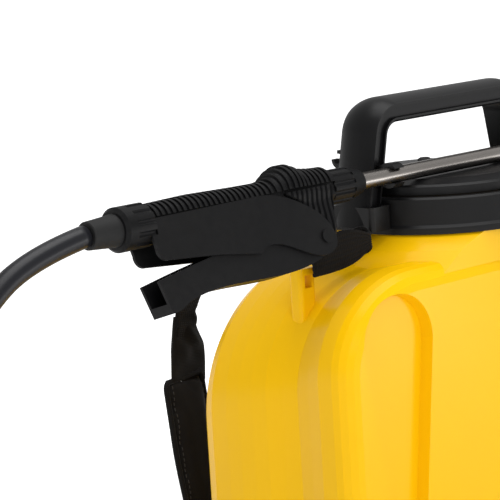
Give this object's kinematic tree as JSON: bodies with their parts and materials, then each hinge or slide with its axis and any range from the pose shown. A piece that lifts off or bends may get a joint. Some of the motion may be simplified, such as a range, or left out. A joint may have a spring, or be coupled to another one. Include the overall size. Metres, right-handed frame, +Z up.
{
  "type": "backpack sprayer",
  "caption": "Knapsack sprayer: yellow blow-moulded tank with a black carry-handle collar, screw lid, side pump lever, straps, hose and a trigger lance clipped beside the handle.",
  "frame": {"origin": "centre of the base's footprint, on the ground plane under the four rubber feet", "axes": "+Z up; +Y towards the wearer's back (strap side); +X along the lance towards its nozzle, to the wearer's right"},
  "size_m": [0.9905, 0.3226, 0.513],
  "materials": {
    "tank_yellow": "satin",
    "black_moulding": "satin",
    "gun_plastic": "matte",
    "inner_plastic": "satin",
    "brushed_steel": "brushed",
    "zinc_steel": "satin",
    "brass": "satin",
    "seal_rubber": "matte",
    "hose_rubber": "satin",
    "grip_rubber": "matte",
    "strap_webbing": "woven",
    "pad_fabric": "woven"
  },
  "bodies": {
    "root": {"tank": "tank_yellow", "handle_collar": "black_moulding", "filler_strainer": "inner_plastic", "base": "black_moulding", "base_feet": "seal_rubber", "pump_chamber": "inner_plastic", "pump_nut": "black_moulding", "outlet_fitting": "black_moulding", "outlet_washer": "seal_rubber", "outlet_nut": "black_moulding", "lid_gasket": "seal_rubber", "shaft_bushes": "inner_plastic", "hose": "hose_rubber", "back_pad": "pad_fabric", "strap_upper_left": "strap_webbing", "shoulder_pad_left": "pad_fabric", "strap_lower_left": "strap_webbing", "strap_loop_left": "strap_webbing", "strap_buckle_left": "black_moulding", "strap_upper_right": "strap_webbing", "shoulder_pad_right": "pad_fabric", "strap_lower_right": "strap_webbing", "strap_loop_right": "strap_webbing", "strap_buckle_right": "black_moulding"},
    "lid": {"lid": "black_moulding", "lid_vent_valve": "seal_rubber"},
    "lance": {"grip_body": "gun_plastic", "grip_plate_near": "gun_plastic", "grip_plate_far": "gun_plastic", "valve_body": "brass", "valve_spring": "zinc_steel", "trigger_pin": "gun_plastic", "nozzle_elbow": "black_moulding", "nozzle_insert": "brass", "hose_nut": "gun_plastic", "hose_sleeve": "seal_rubber", "wand_nut": "gun_plastic", "wand": "brushed_steel"},
    "trigger": {"trigger": "gun_plastic"},
    "valve_stem": {"valve_stem": "brass"},
    "nozzle_cap": {"nozzle_cap": "black_moulding"},
    "pump_lever": {"pump_crank": "zinc_steel", "pump_shaft": "zinc_steel", "lever_arm": "zinc_steel", "lever_nut": "zinc_steel", "lever_grip": "grip_rubber"},
    "piston": {"piston_rod": "zinc_steel", "piston_pin": "zinc_steel", "piston": "inner_plastic", "piston_cup_seal": "seal_rubber"}
  },
  "joints": [
    {"name": "lid_turn", "type": "hinge", "parent": "root", "child": "lid", "pos_m": [0, 0, 0.44], "axis": [0, 0, 1], "range_deg": [0, 120]},
    {"name": "lance_unclip", "type": "slide", "parent": "root", "child": "lance", "axis": [0, -1, 0], "range_m": [0, 0.08]},
    {"name": "trigger_squeeze", "type": "hinge", "parent": "lance", "child": "trigger", "pos_m": [-0.178, -0.03594, 0.42649], "axis": [0, 0.9563, -0.2924], "range_deg": [0, 7.5], "stiffness_Nm_per_rad": 12, "springref_deg": -6.88},
    {"name": "valve_lift", "type": "slide", "parent": "lance", "child": "valve_stem", "axis": [0, 0.2924, 0.9563], "range_m": [0, 0.0047], "deforming": ["valve_spring"]},
    {"name": "nozzle_turn", "type": "hinge", "parent": "lance", "child": "nozzle_cap", "pos_m": [0.42018, -0.02944, 0.44775], "axis": [0.8087, -0.172, -0.5625], "range_deg": [0, 180]},
    {"name": "lever_swing", "type": "hinge", "parent": "root", "child": "pump_lever", "pos_m": [0, 0.02, 0.032], "axis": [-1, 0, 0], "range_deg": [0, 55.8]},
    {"name": "piston_stroke", "type": "slide", "parent": "root", "child": "piston", "axis": [0, 0, 1], "range_m": [0, 0.037]}
  ],
  "couplings": [
    {"joint": "piston_stroke", "follows": "lever_swing", "m_per_rad": 0.036965},
    {"joint": "valve_lift", "follows": "trigger_squeeze", "m_per_rad": 0.034377}
  ]
}
